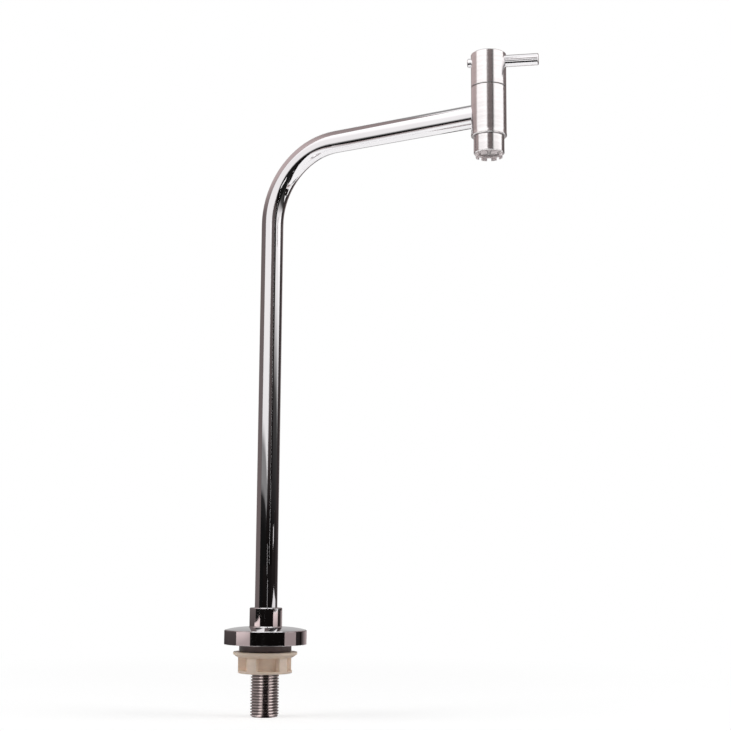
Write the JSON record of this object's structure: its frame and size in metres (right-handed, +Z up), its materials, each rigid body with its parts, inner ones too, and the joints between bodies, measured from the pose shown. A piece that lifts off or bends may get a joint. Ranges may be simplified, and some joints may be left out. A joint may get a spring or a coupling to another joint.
{
  "type": "high spout deck tap",
  "caption": "Deck tap with a tall bent swivel spout, a quarter turn lever valve at its outlet head, a round flange and a threaded shank with a plastic back nut.",
  "frame": {"origin": "on the column's axis at the deck plane, which is the gasket's underside", "axes": "+Z up along the column, +X along the arm towards the outlet head"},
  "size_m": [0.2403, 0.0584, 0.4514],
  "materials": {
    "chrome": "polished chrome plate",
    "plated_stud": "dull plated thread",
    "bare_brass": "turned",
    "black_rubber": "smooth",
    "cream_plastic": "moulded",
    "white_plastic": "turned",
    "grey_plastic": "moulded",
    "ceramic": "lapped",
    "spring_steel": "bright"
  },
  "bodies": {
    "base": {"base_flange": "chrome", "deck_gasket": "black_rubber", "threaded_shank": "plated_stud", "swivel_bush": "white_plastic", "thrust_washer": "white_plastic"},
    "nut": {"back_nut": "cream_plastic"},
    "spout": {"spout_tube": "chrome", "swivel_spigot": "bare_brass", "lower_spigot_ring": "black_rubber", "upper_spigot_ring": "black_rubber", "retaining_ring": "spring_steel", "head_body": "chrome", "valve_cage": "bare_brass", "cage_ring": "black_rubber", "seat_seal": "black_rubber", "fixed_disc": "ceramic", "outlet_sleeve": "chrome", "sleeve_washer": "black_rubber", "aerator_insert": "grey_plastic", "outlet_screen": "spring_steel", "flow_disc": "white_plastic", "inlet_screen": "spring_steel", "aerator_washer": "black_rubber"},
    "lever": {"handle": "chrome", "lever_pin": "chrome", "rear_plug": "chrome", "spindle": "bare_brass", "spindle_ring": "black_rubber", "stop_washer": "spring_steel", "spindle_clip": "spring_steel", "moving_disc": "ceramic"}
  },
  "joints": [
    {"name": "spout_swivel", "type": "hinge", "parent": "base", "child": "spout", "pos_m": [0, 0, 0.0139], "axis": [0, 0, 1], "continuous": true},
    {"name": "lever_turn", "type": "hinge", "parent": "spout", "child": "lever", "pos_m": [0.178, 0, 0.39], "axis": [0, 0, 1], "range_deg": [0, 90]},
    {"name": "back_nut_travel", "type": "slide", "parent": "base", "child": "nut", "axis": [0, 0, -1], "range_m": [0, 0.028]}
  ]
}
